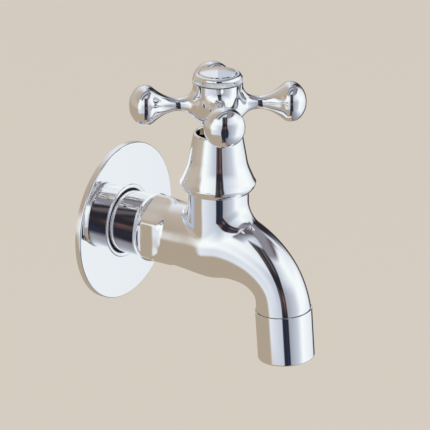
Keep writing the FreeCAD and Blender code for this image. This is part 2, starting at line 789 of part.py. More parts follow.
pieces = {
    "body_casting": body_casting(),
    "seat_seal": seat_seal(),
    "headwork_housing": headwork_housing(),
    "headwork_gasket": headwork_gasket(),
    "fixed_disc": fixed_disc(),
    "bonnet_bell": bonnet_bell(),
    "outlet_gasket": outlet_gasket(),
    "outlet_sleeve": outlet_sleeve(),
    "aerator_seal": aerator_seal(),
    "aerator_housing": aerator_housing(),
    "aerator_screen": aerator_screen(),
    "wall_flange": wall_flange(),
    "flange_grip_ring": flange_grip_ring(),
    "moving_disc": moving_disc(),
    "spindle": spindle(),
    "spindle_ring_lower": spindle_ring(ring_heights()[0]),
    "spindle_ring_upper": spindle_ring(ring_heights()[1]),
    "thrust_washer": thrust_washer(),
    "stop_washer": stop_washer(),
    "spindle_clip": spindle_clip(),
    "cross_handle": cross_handle(),
    "handle_screw": handle_screw(),
    "index_ring": index_ring(),
    "index_cap": index_cap(),
}

os.makedirs("parts", exist_ok=True)
for name, shape in pieces.items():
    solids = shape.Solids
    print(name, "solids", len(solids), "valid", shape.isValid(), "volume", round(shape.Volume, 1))
    single = solids[0] if len(solids) == 1 else shape
    single.exportStep("parts/" + name + ".step")
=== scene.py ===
# %% [markdown]
# A wall tap in mirror chrome. The tap hangs on a wall by its threaded inlet: a thin round
# flange, a shank with a hexagon collar, one curved casting with an upright chamber, a straight
# sleeve on the spout, a flared bell and a cross handle with four ball ends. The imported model
# gives the places and sizes; this lesson dresses it. Polished chrome shows nothing but what
# stands round it, so two things matter most here: skins without a single flat facet, and a
# studio worth reflecting.

# %% Load the model
import json
import math

import bmesh
import bpy
import numpy as np
from mathutils import Matrix, Vector


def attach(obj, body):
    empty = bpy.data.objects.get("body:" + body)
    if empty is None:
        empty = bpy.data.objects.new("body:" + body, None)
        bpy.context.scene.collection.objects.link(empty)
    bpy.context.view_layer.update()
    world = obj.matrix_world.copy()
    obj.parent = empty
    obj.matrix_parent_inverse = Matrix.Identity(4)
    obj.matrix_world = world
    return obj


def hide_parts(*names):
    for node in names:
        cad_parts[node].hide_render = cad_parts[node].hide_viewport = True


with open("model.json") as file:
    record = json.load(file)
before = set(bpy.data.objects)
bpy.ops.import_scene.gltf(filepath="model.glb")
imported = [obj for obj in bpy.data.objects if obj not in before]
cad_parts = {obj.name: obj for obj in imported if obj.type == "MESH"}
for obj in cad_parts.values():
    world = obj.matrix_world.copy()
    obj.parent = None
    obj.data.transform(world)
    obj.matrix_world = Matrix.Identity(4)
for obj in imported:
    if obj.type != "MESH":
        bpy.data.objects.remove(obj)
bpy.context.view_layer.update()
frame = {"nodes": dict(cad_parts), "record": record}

# %% [markdown]
# All sizes below are the real ones in millimetres. Blender works in metres, so each finished
# mesh is scaled once, at the end of its making, by this one number. Three short matrices put a
# piece that was drawn upright about Z where it belongs: on the handle's axis, along the inlet,
# or under the leaning spout.

# %% Sizes and places
MM = 0.001
CHAMBER_REACH = 43.5
SPOUT_REACH = 28.8
SPOUT_DROP = 19.6
SPOUT_LEAN = math.radians(4.5)

on_axis = Matrix.Translation((0, -CHAMBER_REACH, 0))
along_inlet = Matrix.Rotation(math.radians(90), 4, "X")
under_spout = (Matrix.Translation((0, -CHAMBER_REACH - SPOUT_REACH, -SPOUT_DROP))
               @ Matrix.Rotation(-SPOUT_LEAN, 4, "X"))

# %% [markdown]
# Most of the tap is turned on a lathe, and a lathe is what the Spin operator is: a profile of
# vertices, one edge to the next, swept round Z. The profile is given as corners, and a list in
# it is a row of points that a smooth curve passes through, as a form tool would cut it. A
# mirror shows every flat, so curves are sampled finely and the sweep has many steps. Edges
# where the profile really turns a corner are marked sharp; all others shade smooth.

# %% A curve through points, and the lathe
def natural_spline(knots, values):
    """Returns a function that evaluates a natural cubic spline through rows of values."""
    knots = np.asarray(knots, float)
    values = np.asarray(values, float)
    n = len(knots)
    h = np.diff(knots)
    system = np.eye(n)
    right = np.zeros_like(values)
    for i in range(1, n - 1):
        system[i, i - 1] = h[i - 1]
        system[i, i] = 2 * (h[i - 1] + h[i])
        system[i, i + 1] = h[i]
        right[i] = 6 * ((values[i + 1] - values[i]) / h[i] - (values[i] - values[i - 1]) / h[i - 1])
    bend = np.linalg.solve(system, right)

    def at(u):
        u = np.atleast_1d(np.asarray(u, float))
        i = np.clip(np.searchsorted(knots, u) - 1, 0, n - 2)
        step = h[i][:, None]
        a = (knots[i + 1] - u)[:, None] / step
        b = 1 - a
        bow = ((a ** 3 - a) * bend[i] + (b ** 3 - b) * bend[i + 1]) * step ** 2 / 6
        return a * values[i] + b * values[i + 1] + bow

    return at


def curve_points(points, per_mm=4.0):
    """Fine points of a smooth curve through the given ones, without the first."""
    points = np.asarray(points, float)
    chord = np.linalg.norm(np.diff(points, axis=0), axis=1)
    knots = np.concatenate(([0.0], np.cumsum(chord)))
    count = max(6, int(knots[-1] * per_mm))
    return natural_spline(knots, points)(np.linspace(0, knots[-1], count + 1)[1:])


def arc_points(start, middle, end, count=10):
    """Points of a circular arc through three, without the first."""
    (ax, ay), (bx, by), (cx, cy) = start, middle, end
    d = 2 * (ax * (by - cy) + bx * (cy - ay) + cx * (ay - by))
    aa, bb, cc = ax * ax + ay * ay, bx * bx + by * by, cx * cx + cy * cy
    x = (aa * (by - cy) + bb * (cy - ay) + cc * (ay - by)) / d
    y = (aa * (cx - bx) + bb * (ax - cx) + cc * (bx - ax)) / d
    r = math.hypot(ax - x, ay - y)
    first = math.atan2(ay - y, ax - x)
    half = (math.atan2(by - y, bx - x) - first + math.pi) % (2 * math.pi) - math.pi
    last = (math.atan2(cy - y, cx - x) - first + math.pi) % (2 * math.pi) - math.pi
    if half * last < 0:
        last += 2 * math.pi if half > 0 else -2 * math.pi
    turns = np.linspace(first, first + last, count + 1)[1:]
    return [(x + r * math.cos(t), y + r * math.sin(t)) for t in turns]


def profile(start, *steps):
    """Corners, lists of curve points and ("arc", middle, end) as one row of points."""
    row = [tuple(start)]
    for step in steps:
        if isinstance(step, list):
            row += [tuple(p) for p in curve_points([row[-1]] + step)]
        elif step[0] == "arc":
            row += arc_points(row[-1], step[1], step[2])
        else:
            row.append(tuple(step))
    return row


def finish_mesh(name, bm, place, sharp=28.0, fix_normals=True):
    """Moves a mesh to its place, in metres, and shades it smooth with sharp corners."""
    bmesh.ops.remove_doubles(bm, verts=bm.verts, dist=1e-4)
    if fix_normals:
        bmesh.ops.recalc_face_normals(bm, faces=bm.faces)
    bmesh.ops.transform(bm, matrix=Matrix.Scale(MM, 4) @ place, verts=bm.verts)
    mesh = bpy.data.meshes.new(name)
    bm.to_mesh(mesh)
    bm.free()
    mesh.shade_smooth()
    mesh.set_sharp_from_angle(angle=math.radians(sharp))
    piece = bpy.data.objects.new(name, mesh)
    bpy.context.scene.collection.objects.link(piece)
    print(name, len(mesh.polygons), "faces, mm", [round(v * 1000, 1) for v in piece.dimensions])
    return piece


def lathe(row, steps=144, close=True):
    """Sweeps a profile round Z. The row closes on itself unless both its ends lie on the axis."""
    bm = bmesh.new()
    verts = [bm.verts.new((x, 0, z)) for x, z in row]
    edges = [bm.edges.new(pair) for pair in zip(verts, verts[1:])]
    if close:
        edges.append(bm.edges.new((verts[-1], verts[0])))
    bmesh.ops.spin(bm, geom=verts + edges, cent=(0, 0, 0), axis=(0, 0, 1),
                   angle=2 * math.pi, steps=steps, use_merge=True)
    bmesh.ops.remove_doubles(bm, verts=bm.verts, dist=1e-4)
    return bm


def dress(piece, body, material, slot, *nodes):
    """The piece takes its material, rides on its body and stands for its CAD nodes."""
    piece.data.materials.clear()
    piece.data.materials.append(material)
    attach(piece, body)
    if nodes:
        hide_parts(*nodes)
    return piece


# %% [markdown]
# Node materials get long when each node takes four lines, so one small function adds a node,
# sets its inputs, properties and ramp stops and links what is asked. Colours are written as the
# sRGB hex values that a colour picker shows; the shader wants linear light, so one function
# turns them.

# %% Colours and nodes
def linear(code):
    """Linear RGBA from an sRGB hex string such as "c8c8cc"."""
    parts = [int(code[i:i + 2], 16) / 255 for i in (0, 2, 4)]
    light = [p / 12.92 if p <= 0.04045 else ((p + 0.055) / 1.055) ** 2.4 for p in parts]
    return (*light, 1.0)


def add(tree, kind, inputs=None, links=None, stops=(), **settings):
    """Adds a node. Inputs are values and links are output sockets, both by socket name; stops
    are the (position, hex) stops of a colour ramp."""
    node = tree.nodes.new(kind)
    for key, value in settings.items():
        setattr(node, key, value)
    for key, value in (inputs or {}).items():
        node.inputs[key].default_value = value
    for key, socket in (links or {}).items():
        tree.links.new(socket, node.inputs[key])
    if stops:
        band = node.color_ramp.elements
        band.remove(band[-1])
        band[0].position = stops[0][0]
        band[0].color = linear(stops[0][1])
        for position, code in stops[1:]:
            band.new(position).color = linear(code)
    return node


def new_material(name):
    """A material with an empty Principled shader, its node tree and its Object coordinates."""
    material = bpy.data.materials.new(name)
    material.use_nodes = True
    tree = material.node_tree
    tree.nodes.clear()
    shader = add(tree, "ShaderNodeBsdfPrincipled")
    output = add(tree, "ShaderNodeOutputMaterial")
    tree.links.new(shader.outputs["BSDF"], output.inputs["Surface"])
    coords = add(tree, "ShaderNodeTexCoord")
    return material, tree, shader, coords.outputs["Object"]


# %% [markdown]
# The plating: bright decorative chrome over nickel on polished brass. Chrome is a slightly
# bluish, not quite white metal. It is never perfectly even: fine buffing leaves the gloss a
# little uneven over a few millimetres, so the roughness wanders between two low values.

# %% Polished chrome plate
chrome, tree, shader, place = new_material("polished chrome plate")
shader.inputs["Base Color"].default_value = linear("fafafb")
shader.inputs["Metallic"].default_value = 1.0
cloud = add(tree, "ShaderNodeTexNoise", {"Scale": 1 / 0.006, "Detail": 3.0}, {"Vector": place})
gloss = add(tree, "ShaderNodeMapRange", {"From Min": 0.35, "From Max": 0.70,
                                         "To Min": 0.012, "To Max": 0.035},
            {"Value": cloud.outputs["Fac"]})
tree.links.new(gloss.outputs["Result"], shader.inputs["Roughness"])

# %% [markdown]
# The parts that are not plated show in slits and from below. Turned brass keeps the fine rings
# of the cutter, coarser here than real ones so that they show. The others are moulded, pressed
# or lapped, and each has two near tones that wander over a real size: the grain of the rubber's
# mould, the flow of white acetal, the weft of red fibre, the specks of alumina and the drawing
# marks of stainless steel. One loop over their names and values makes all five.

# %% The other materials
brass, tree, shader, place = new_material("turned brass")
shader.inputs["Metallic"].default_value = 1.0
rings = add(tree, "ShaderNodeTexWave", {"Scale": 1 / 0.0012, "Distortion": 0.4, "Detail": 2.0},
            {"Vector": place}, bands_direction="Z")
tint = add(tree, "ShaderNodeValToRGB", links={"Fac": rings.outputs["Fac"]},
           stops=[(0.0, "9c875c"), (1.0, "b7a074")])
tree.links.new(tint.outputs["Color"], shader.inputs["Base Color"])
cut = add(tree, "ShaderNodeMapRange", {"To Min": 0.22, "To Max": 0.38},
          {"Value": rings.outputs["Fac"]})
tree.links.new(cut.outputs["Result"], shader.inputs["Roughness"])
finishes = {"chrome_plate": chrome, "brass": brass}

# Slot, name, grain in metres, detail, darker and lighter tone, roughness, metallic, bump.
for slot, name, grain, detail, dark, light, roughness, metallic, bump in (
        ("black_rubber", "moulded black rubber", 0.0004, 2.0, "101011", "1d1d1f", 0.62, 0, 0.25),
        ("pale_plastic", "moulded white acetal", 0.003, 3.0, "d9d9d4", "e8e8e4", 0.42, 0, 0),
        ("red_fibre", "pressed red fibre", 0.0006, 4.0, "6e2418", "8c3526", 0.8, 0, 0),
        ("alumina", "lapped alumina", 0.0008, 2.0, "e6e2d8", "f1eee6", 0.18, 0, 0),
        ("stainless_steel", "bright stainless steel", 0.001, 3.0, "a9a9a8", "c0c0bf", 0.26, 1, 0)):
    finishes[slot], tree, shader, place = new_material(name)
    cloud = add(tree, "ShaderNodeTexNoise", {"Scale": 1 / grain, "Detail": detail},
                {"Vector": place})
    tint = add(tree, "ShaderNodeValToRGB", links={"Fac": cloud.outputs["Fac"]},
               stops=[(0.3, dark), (0.7, light)])
    tree.links.new(tint.outputs["Color"], shader.inputs["Base Color"])
    shader.inputs["Roughness"].default_value = roughness
    shader.inputs["Metallic"].default_value = metallic
    if bump:
        skin_bump = add(tree, "ShaderNodeBump", {"Strength": bump, "Distance": 0.00005},
                        {"Height": cloud.outputs["Fac"]})
        tree.links.new(skin_bump.outputs["Normal"], shader.inputs["Normal"])

for part in frame["record"]["subparts"]:
    node = frame["nodes"][part["node"]]
    node.data.materials.clear()
    node.data.materials.append(finishes[part["material_slot"]])

# %% [markdown]
# The casting's run: neck, belly and spout are one smooth tube whose centre line starts level,
# runs under the chamber and bends down. Each section is an oval with its own half width and
# half depth. The same few sections as in the construction are joined by a smooth spline, so
# any section in between can be asked for. Only the spout's back is drawn a little fuller here,
# by up to 1.8 mm below the chamber.

# %% Sections along the casting
SHANK_LENGTH = 13.0
FLAT_START = SHANK_LENGTH + 3.0
FLAT_END = FLAT_START + 6.2
COLLAR_END = SHANK_LENGTH + 15.4
NECK_R = 11.9
BELLY = (12.4, 13.5)
BELLY_RISE = 0.2
SPOUT_R = 10.15
SPOUT_WAIST_R = 9.7
SPOUT_STRAIGHT = 18.5
SPOUT_BACK = 12.0
CHAMBER_R = 11.5
CHAMBER_TOP = 23.5


def spout_station(t):
    """Centre (y, z) and direction of the spout's centre line at a share of its length."""
    ends = ((0.0, BELLY_RISE), (6.0, BELLY_RISE),
            (SPOUT_REACH - SPOUT_STRAIGHT * math.sin(SPOUT_LEAN),
             -SPOUT_DROP + SPOUT_STRAIGHT * math.cos(SPOUT_LEAN)),
            (SPOUT_REACH, -SPOUT_DROP))
    s = 1 - t
    w = (s ** 3, 3 * s * s * t, 3 * s * t * t, t ** 3)
    d = (-3 * s * s, 3 * s * s - 6 * s * t, 6 * s * t - 3 * t * t, 3 * t * t)
    u, z = (sum(k * p[i] for k, p in zip(w, ends)) for i in (0, 1))
    du, dz = (sum(k * p[i] for k, p in zip(d, ends)) for i in (0, 1))
    size = math.hypot(du, dz)
    return (-CHAMBER_REACH - u, z), (-du / size, dz / size)


def swell(root, t):
    """Radius along the spout: full at the root, drawn in at the bend, full at the seam."""
    waist = (SPOUT_WAIST_R - 0.205 * root - 0.343 * SPOUT_R) / 0.441
    s = 1 - t
    return s ** 3 * root + 2.82 * s * s * t * root + 3 * s * t * t * waist + t ** 3 * SPOUT_R


sections = []
for share in (0.0, 0.33, 0.66):
    grown = (1 - math.cos(math.pi * share)) / 2
    y = -FLAT_END - (CHAMBER_REACH - FLAT_END) * share
    sections.append(((y, BELLY_RISE * grown), (-1.0, 0.0),
                     NECK_R + grown * (BELLY[0] - NECK_R), NECK_R + grown * (BELLY[1] - NECK_R)))
for t in (0.0, 0.23, 0.38, 0.52, 0.66, 0.82, 1.0):
    (y, z), (dy, dz) = spout_station(t)
    # The fuller back: the section grows by this much and its centre moves up by as much.
    half = SPOUT_BACK * t * (1 - t) ** 2 / 2
    sections.append(((y + dz * half, z - dy * half), (dy, dz),
                     swell(BELLY[0], t), swell(BELLY[1], t) + half))
rows = np.array([(y, z, dz * deep, -dy * deep, wide) for (y, z), (dy, dz), wide, deep in sections])
gaps = np.hypot(np.diff(rows[:, 0]), np.diff(rows[:, 1]))
stations = np.concatenate(([0.0], np.cumsum(gaps)))
# One straight section beyond each end: back through the collar, and on past the seam.
BACKWARD = 11.0
ONWARD = 3.0
onward = ONWARD * np.array([-math.sin(SPOUT_LEAN), -math.cos(SPOUT_LEAN), 0, 0, 0])
rows = np.vstack((rows[0] + np.array([BACKWARD, 0, 0, 0, 0]), rows, rows[-1] + onward))
stations = np.concatenate(([-BACKWARD], stations, [stations[-1] + ONWARD]))
run = natural_spline(stations, rows)
print("centre line mm", round(stations[-2], 1), "sections", len(sections))

# %% [markdown]
# The chamber stands on that tube, and where they meet the mould has a soft fillet. Cutting and
# filleting mesh faces leaves small dents that a mirror shows at once. So the outside is
# written as a distance: how far a point is from the tube, how far from the chamber, and a
# rounded join of the two. Each of these functions returns the distance and also the direction
# in which it grows, because that direction is the exact normal of the skin. It is worked out on
# paper, and only the splines' own slopes are taken over a very small step.

# %% Distance and direction
def unit(v):
    """Rows scaled to length one."""
    return v / np.maximum(np.linalg.norm(v, axis=1, keepdims=True), 1e-9)


def rounded_join(parts, radius):
    """Joins several (distance, direction) pairs with a hollow rounding of a given radius."""
    near = np.min([d for d, n in parts], axis=0)
    weights = [np.maximum(radius - d, 0) for d, n in parts]
    reach = np.sqrt(sum(w * w for w in weights))
    slope = sum(w[:, None] * n for w, (d, n) in zip(weights, parts))
    pick = np.argmin([d for d, n in parts], axis=0)
    plain = np.choose(pick[:, None], [n for d, n in parts])
    direction = np.where((reach > 1e-9)[:, None], slope, plain)
    return np.maximum(radius, near) - reach, unit(direction)


STEP = 1e-3
coarse = np.linspace(stations[0], stations[-1], 240)
coarse_rows = run(coarse)


def tube(p):
    """The oval tube: each point is measured in the section that holds it. The section is first
    looked up among coarse ones and then found in a few steps."""
    near = np.empty(len(p), int)
    for begin in range(0, len(p), 8000):
        q = p[begin:begin + 8000]
        off = (q[:, 1:2] - coarse_rows[:, 0]) ** 2 + (q[:, 2:3] - coarse_rows[:, 1]) ** 2
        near[begin:begin + 8000] = off.argmin(1)
    u = coarse[near]
    for turn in range(5):
        here, there = run(u), run(u + STEP)
        deep = np.hypot(here[:, 2], here[:, 3])
        up = here[:, 2:4] / deep[:, None]
        up_step = (there[:, 2:4] / np.hypot(there[:, 2], there[:, 3])[:, None] - up) / STEP
        centre_step = (there[:, :2] - here[:, :2]) / STEP
        ahead = np.stack((-up[:, 1], up[:, 0]), 1)
        ahead_step = np.stack((-up_step[:, 1], up_step[:, 0]), 1)
        off = p[:, 1:3] - here[:, :2]
        pace = (centre_step * ahead).sum(1) - (off * ahead_step).sum(1)
        pace = np.where(np.abs(pace) < 0.2, 0.2, pace)
        if turn < 4:
            u = u + np.clip((off * ahead).sum(1) / pace, -2.0, 2.0)
    high = (off * up).sum(1)
    wide = here[:, 4]
    reach = np.maximum(np.hypot(p[:, 0] / wide, high / deep), 1e-6)
    wide_step = (there[:, 4] - wide) / STEP
    deep_step = (np.hypot(there[:, 2], there[:, 3]) - deep) / STEP
    along = -(p[:, 0] ** 2 * wide_step / wide ** 3 + high ** 2 * deep_step / deep ** 3) / reach
    rise = high / (deep ** 2 * reach)
    along = (along - rise * (centre_step * up).sum(1)) / pace
    slope = np.empty_like(p)
    slope[:, 0] = p[:, 0] / (wide ** 2 * reach)
    slope[:, 1:3] = rise[:, None] * up + along[:, None] * ahead
    return (reach - 1) / np.linalg.norm(slope, axis=1), unit(slope)


def chamber(p):
    """The upright round chamber."""
    off = p.copy()
    off[:, 1] += CHAMBER_REACH
    off[:, 2] = 0
    return np.linalg.norm(off, axis=1) - CHAMBER_R, unit(off)


# %% [markdown]
# The collar is cast with the body: a small shoulder on the shank's side, a hexagon for the
# spanner, and a soft run-out in which the hexagon fades into the round neck. It is a turned
# shape cut by six planes. Each plane leans in a little over the run-out, which gives the
# bright strip beside the flat. The edges between them are polished soft, so the cut is a
# rounded join turned inside out.

# %% Collar with six flats
COLLAR_R = 13.95
FLAT_R = 12.3
FLAT_LEAN = 0.0903
fade = COLLAR_END - FLAT_END
step = COLLAR_R - NECK_R
collar_knots = [(FLAT_START - 5.0, 12.45), (SHANK_LENGTH, 12.42), (SHANK_LENGTH + 0.7, 12.55),
                (FLAT_START - 0.8, 13.23), (FLAT_START + 0.2, COLLAR_R - 0.3),
                (FLAT_START + 0.55, COLLAR_R - 0.08), (FLAT_START + 1.1, COLLAR_R),
                (FLAT_START + 2.6, COLLAR_R), (FLAT_END - 1.0, COLLAR_R),
                (FLAT_END + 0.16 * fade, COLLAR_R), (FLAT_END + 0.34 * fade, COLLAR_R),
                (FLAT_END + 0.47 * fade, COLLAR_R - 0.16 * step),
                (FLAT_END + 0.66 * fade, NECK_R + 0.40 * step),
                (FLAT_END + 0.86 * fade, NECK_R + 0.10 * step),
                (COLLAR_END, NECK_R - 0.15), (COLLAR_END + 3, NECK_R - 2.0),
                (COLLAR_END + 8, NECK_R - 8.0)]
collar_radius = natural_spline([z for z, r in collar_knots], [[r] for z, r in collar_knots])
FLAT_TURNS = [math.radians(60 * i) for i in range(6)]


def ease(u, width=0.3):
    """A soft ramp that starts at zero, and its slope."""
    root = np.sqrt(u * u + width * width)
    return (u + root) / 2, (1 + u / root) / 2


def collar_part(p):
    """The turned collar, cut by its six planes."""
    along = np.clip(-p[:, 1], FLAT_START - 5, COLLAR_END + 8)
    across = np.maximum(np.hypot(p[:, 0], p[:, 2]), 1e-6)
    radius = collar_radius(along)[:, 0]
    taper = (collar_radius(along + STEP)[:, 0] - radius) / STEP
    slope = np.stack((p[:, 0] / across, taper, p[:, 2] / across), 1)
    length = np.linalg.norm(slope, axis=1)
    parts = [((across - radius) / length, slope / length[:, None])]
    before, before_slope = ease(FLAT_START - along)
    after, after_slope = ease(along - FLAT_END)
    limit = FLAT_R + before - FLAT_LEAN * after
    lean = -before_slope - FLAT_LEAN * after_slope
    level = np.ones(len(p))
    for turn in FLAT_TURNS:
        slope = np.stack((level * math.cos(turn), lean, level * math.sin(turn)), 1)
        length = np.linalg.norm(slope, axis=1)
        reach = p[:, 0] * math.cos(turn) + p[:, 2] * math.sin(turn)
        parts.append(((reach - limit) / length, slope / length[:, None]))
    # The polishing wheel rounds the edges off more and more towards the neck.
    worn = np.clip((along - FLAT_END + 0.5) / 4.5, 0, 1)
    distance, direction = rounded_join([(-d, -n) for d, n in parts], 0.35 + 4.0 * worn ** 2)
    return -distance, -direction


def soft_join(one, two, blend):
    """A fillet that is full where two walls cross square, and fades out where they run side by
    side, as a rolling ball's would."""
    alike = np.clip((one[1] * two[1]).sum(1), -1, 1)
    return rounded_join([one, two], blend * (1 - alike ** 2) + 0.02)


def faded_join(one, two, width):
    """Lets one wall fade into another that runs nearly beside it."""
    share = np.clip(0.5 + (two[0] - one[0]) / (2 * width), 0, 1)
    distance = two[0] * (1 - share) + one[0] * share - width * share * (1 - share)
    return distance, unit(one[1] * share[:, None] + two[1] * (1 - share)[:, None])


NECK_FILLET = 3.0
SPOUT_FILLET = 5.5


def casting_skin(p):
    """The fillet at the chamber's foot is tight over the neck and wide over the spout."""
    run_part = tube(p)
    collared = faded_join(run_part, collar_part(p), 0.75)
    forward = np.clip((-CHAMBER_REACH + 2.0 - p[:, 1]) / 8.0, 0, 1)
    fillet = NECK_FILLET + (SPOUT_FILLET - NECK_FILLET) * forward
    joined = soft_join(run_part, chamber(p), fillet)
    by_collar = p[:, 1] > -COLLAR_END - 2
    above = (p[:, 2] > 0) & ~by_collar
    distance = np.where(by_collar, collared[0], np.where(above, joined[0], run_part[0]))
    direction = np.where(by_collar[:, None], collared[1],
                         np.where(above[:, None], joined[1], run_part[1]))
    return distance, direction


# %% [markdown]
# A voxel remesh of a rough body gives an even net near the skin. Each point of the net is then
# drawn onto the exact skin, and the net's normals are taken from the same formula, so the
# reflections flow over it without a ripple. The same few steps serve for the casting and later
# for the cross handle, so they are functions.

# %% Net on an exact skin
def netted(bm, size):
    """An even net round a rough closed body, in millimetres."""
    bmesh.ops.recalc_face_normals(bm, faces=bm.faces)
    mesh = bpy.data.meshes.new("rough")
    bm.to_mesh(mesh)
    bm.free()
    rough = bpy.data.objects.new("rough", mesh)
    bpy.context.scene.collection.objects.link(rough)
    net = rough.modifiers.new("net", "REMESH")
    net.mode = "VOXEL"
    net.voxel_size = size
    graph = bpy.context.evaluated_depsgraph_get()
    result = bpy.data.meshes.new_from_object(rough.evaluated_get(graph))
    bpy.data.objects.remove(rough)
    return result


def skinned(bm, size, skin, turns=4):
    """The net of a rough body, with its points drawn onto the exact skin. Points on the flat ends
    stay off it, so the print tells how close the nearest nine tenths are."""
    mesh = netted(bm, size)
    points = np.empty(len(mesh.vertices) * 3)
    mesh.vertices.foreach_get("co", points)
    points = points.reshape(-1, 3)
    for _ in range(turns):
        distance, direction = skin(points)
        points -= np.clip(distance, -1.0, 1.0)[:, None] * direction
    mesh.vertices.foreach_set("co", points.ravel())
    off = np.quantile(np.abs(skin(points)[0]), 0.9)
    print("points", len(points), "nine tenths are within mm", round(float(off), 4))
    drawn = bmesh.new()
    drawn.from_mesh(mesh)
    bpy.data.meshes.remove(mesh)
    return drawn


def exact_normals(piece, skin):
    """Shades a piece by its skin's formula; its flat ends keep their own normals."""
    mesh = piece.data
    points = np.empty(len(mesh.vertices) * 3)
    mesh.vertices.foreach_get("co", points)
    normals = skin(points.reshape(-1, 3) / MM)[1]
    corners = np.empty(len(mesh.loops) * 3)
    mesh.corner_normals.foreach_get("vector", corners)
    corners = corners.reshape(-1, 3)
    owners = np.empty(len(mesh.loops), int)
    mesh.loops.foreach_get("vertex_index", owners)
    exact = normals[owners]
    close = (exact * corners).sum(1) > 0.85
    corners[close] = exact[close]
    mesh.normals_split_custom_set(corners.tolist())


def cut_off(bm, point, normal, dist=1e-5):
    """Cuts a body square, drops what lies beyond and returns the edges of the cut."""
    cut = bmesh.ops.bisect_plane(bm, geom=bm.verts[:] + bm.edges[:] + bm.faces[:], dist=dist,
                                 plane_co=point, plane_no=normal, clear_outer=True)
    return [e for e in cut["geom_cut"] if isinstance(e, bmesh.types.BMEdge)]


def trim(bm, point, normal):
    """Cuts a body square and closes the cut with one flat face."""
    bmesh.ops.edgeloop_fill(bm, edges=cut_off(bm, point, normal))


# %% [markdown]
# The rough body: rings of the tube's own sections joined by Bridge Loops, and a plain cylinder
# for the chamber. They overlap; the Remesh modifier does not mind. Sand casting and hand
# buffing leave broad, shallow waves that a mirror shows as softly wandering edges, so the
# casting's plate has a faint bump over several millimetres that the turned pieces lack.

# %% The casting's body
bm = bmesh.new()
rings = []
for y, z, uy, uz, wide in run(np.linspace(stations[0], stations[-1], 60)):
    ring = bmesh.ops.create_circle(bm, cap_ends=False, segments=64, radius=1.0)["verts"]
    for vert in ring:
        x, h, _ = vert.co
        vert.co = (x * wide, y + h * uy, z + h * uz)
    rings.append(list({e for v in ring for e in v.link_edges}))
for one, two in zip(rings, rings[1:]):
    bmesh.ops.bridge_loops(bm, edges=one + two)
for end in (rings[0], rings[-1]):
    bmesh.ops.edgeloop_fill(bm, edges=end)
bmesh.ops.create_cone(bm, cap_ends=True, segments=64, radius1=CHAMBER_R, radius2=CHAMBER_R,
                      depth=CHAMBER_TOP + 2,
                      matrix=on_axis @ Matrix.Translation((0, 0, CHAMBER_TOP / 2 + 1)))
rough_r = COLLAR_R - 0.6
bmesh.ops.create_cone(bm, cap_ends=True, segments=64, radius1=rough_r, radius2=rough_r, depth=12.0,
                      matrix=along_inlet @ Matrix.Translation((0, 0, FLAT_START + 1.5)))
bm = skinned(bm, 0.50, casting_skin)
seam = Vector((0, -CHAMBER_REACH - SPOUT_REACH, -SPOUT_DROP))
trim(bm, Vector((0, -SHANK_LENGTH, 0)), Vector((0, 1, 0)))
trim(bm, seam, Vector((0, -math.sin(SPOUT_LEAN), -math.cos(SPOUT_LEAN))))
trim(bm, Vector((0, 0, CHAMBER_TOP)), Vector((0, 0, 1)))
casting = finish_mesh("casting_body", bm, Matrix.Identity(4), sharp=50)
exact_normals(casting, casting_skin)
cast_chrome = chrome.copy()
cast_chrome.name = "chrome plate on the buffed casting"
tree = cast_chrome.node_tree
by_type = {n.type: n for n in tree.nodes}
swell_noise = add(tree, "ShaderNodeTexNoise", {"Scale": 1 / 0.009, "Detail": 1.0},
                  {"Vector": by_type["TEX_COORD"].outputs["Object"]})
waves = add(tree, "ShaderNodeBump", {"Strength": 1.0, "Distance": 0.00010},
            {"Height": swell_noise.outputs["Fac"]})
tree.links.new(waves.outputs["Normal"], by_type["BSDF_PRINCIPLED"].inputs["Normal"])
dress(casting, "valve", cast_chrome, "chrome_plate", "body_casting")

# %% [markdown]
# The shank is a plain turned cylinder. Behind the wall it ends in a G 1/2 thread: 14 threads
# per inch, so a pitch of 1.814 mm, and a depth of 1.162 mm. Spin can also travel along its
# axis: a zigzag with one tooth per pitch, spun once while it moves up one pitch, joins tooth to
# tooth into one continuous helix.

# %% Shank and inlet thread
THREAD_R = 20.955 / 2
PITCH = 25.4 / 14
DEPTH = 1.162
THREAD_LENGTH = 14.0
RELIEF = 1.6
BORE_R = 6.0
SHANK_R = 12.0

relief_r = THREAD_R - DEPTH - 0.1
row = profile((BORE_R, -RELIEF), (relief_r, -RELIEF), (relief_r, 0), (SHANK_R - 0.2, 0),
              (SHANK_R, 0.2), (SHANK_R, FLAT_START), (BORE_R, FLAT_START))
shank = finish_mesh("shank", lathe(row), along_inlet)
dress(shank, "valve", chrome, "chrome_plate", "body_casting")

bm = bmesh.new()
# One tooth: how deep below the crest, and how far along the pitch.
tooth = ((1, 0.10), (0.86, 0.16), (0.10, 0.44), (0, 0.52), (0.10, 0.60), (0.86, 0.88))
row = []
teeth = int(THREAD_LENGTH / PITCH) + 3
for i in range(teeth):
    z = -THREAD_LENGTH - 2 * PITCH + i * PITCH
    row += [(THREAD_R - deep * DEPTH, z + share * PITCH) for deep, share in tooth]
verts = [bm.verts.new((x, 0, z)) for x, z in row]
edges = [bm.edges.new(pair) for pair in zip(verts, verts[1:])]
bmesh.ops.spin(bm, geom=verts + edges, cent=(0, 0, 0), axis=(0, 0, 1), dvec=(0, 0, PITCH / 96),
               angle=2 * math.pi, steps=96, use_merge=False)
bmesh.ops.remove_doubles(bm, verts=bm.verts, dist=0.01)
for height, way in ((-THREAD_LENGTH, -1), (-RELIEF, 1)):
    rim = cut_off(bm, (0, 0, height), (0, 0, way), dist=1e-4)
    inner = bmesh.ops.create_circle(bm, cap_ends=False, segments=96, radius=BORE_R,
                                    matrix=Matrix.Translation((0, 0, height)))["verts"]
    hole = list({e for v in inner for e in v.link_edges})
    bmesh.ops.bridge_loops(bm, edges=rim + hole)
